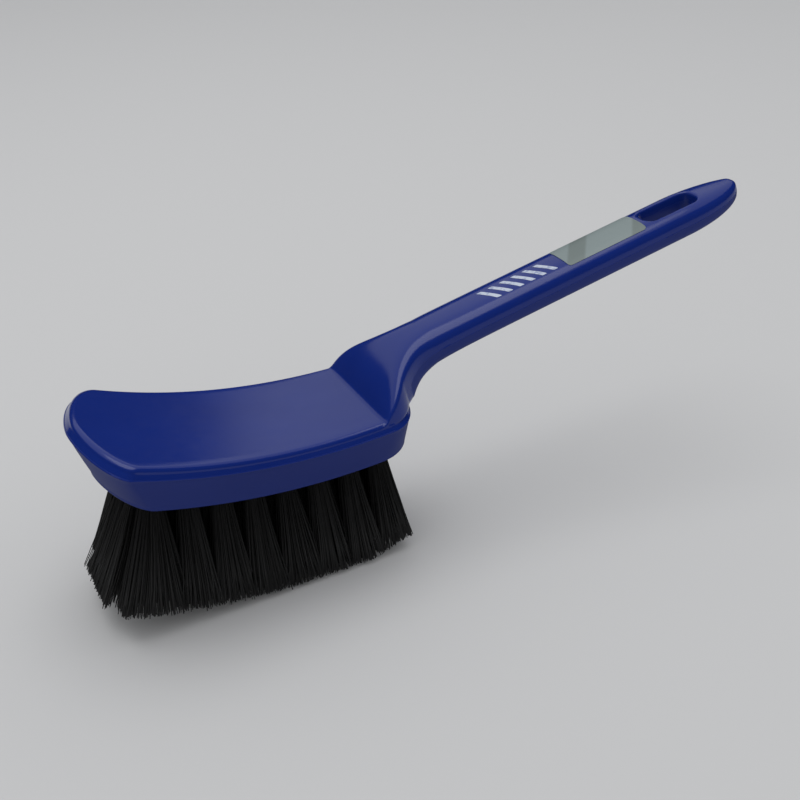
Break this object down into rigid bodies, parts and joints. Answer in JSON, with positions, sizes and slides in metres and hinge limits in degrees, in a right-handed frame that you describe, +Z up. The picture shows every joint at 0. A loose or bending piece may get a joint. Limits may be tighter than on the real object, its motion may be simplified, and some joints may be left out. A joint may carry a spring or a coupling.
{
  "type": "tire brush",
  "caption": "Hand-held tire scrubbing brush: curved plastic head with dense black bristle tufts, a ramped neck and a straight handle with a hanging slot.",
  "frame": {"origin": "under the middle of the brush's length and width, on the surface that its bristle tips stand on", "axes": "+X along the brush from the front of the head to the end of the handle, +Z up, away from the bristle tips, +Y across the head"},
  "size_m": [0.258, 0.0596, 0.1021],
  "materials": {
    "blue_plastic": "glossy injection-moulded polypropylene, deep blue",
    "black_filament": "stiff black polypropylene filament",
    "anchor_brass": "drawn flat wire",
    "label_film": "pale satin film"
  },
  "bodies": {
    "root": {"handle_block": "blue_plastic", "tuft_row_1": "black_filament", "tuft_row_2": "black_filament", "tuft_row_3": "black_filament", "tuft_row_4": "black_filament", "anchor_wire_1_1": "anchor_brass", "anchor_wire_1_2": "anchor_brass", "anchor_wire_1_3": "anchor_brass", "anchor_wire_1_4": "anchor_brass", "anchor_wire_1_5": "anchor_brass", "anchor_wire_1_6": "anchor_brass", "anchor_wire_1_7": "anchor_brass", "anchor_wire_1_8": "anchor_brass", "anchor_wire_2_1": "anchor_brass", "anchor_wire_2_2": "anchor_brass", "anchor_wire_2_3": "anchor_brass", "anchor_wire_2_4": "anchor_brass", "anchor_wire_2_5": "anchor_brass", "anchor_wire_2_6": "anchor_brass", "anchor_wire_2_7": "anchor_brass", "anchor_wire_2_8": "anchor_brass", "anchor_wire_2_9": "anchor_brass", "anchor_wire_3_1": "anchor_brass", "anchor_wire_3_2": "anchor_brass", "anchor_wire_3_3": "anchor_brass", "anchor_wire_3_4": "anchor_brass", "anchor_wire_3_5": "anchor_brass", "anchor_wire_3_6": "anchor_brass", "anchor_wire_3_7": "anchor_brass", "anchor_wire_3_8": "anchor_brass", "anchor_wire_3_9": "anchor_brass", "anchor_wire_4_1": "anchor_brass", "anchor_wire_4_2": "anchor_brass", "anchor_wire_4_3": "anchor_brass", "anchor_wire_4_4": "anchor_brass", "anchor_wire_4_5": "anchor_brass", "anchor_wire_4_6": "anchor_brass", "anchor_wire_4_7": "anchor_brass", "anchor_wire_4_8": "anchor_brass", "handle_label": "label_film"}
  },
  "joints": []
}
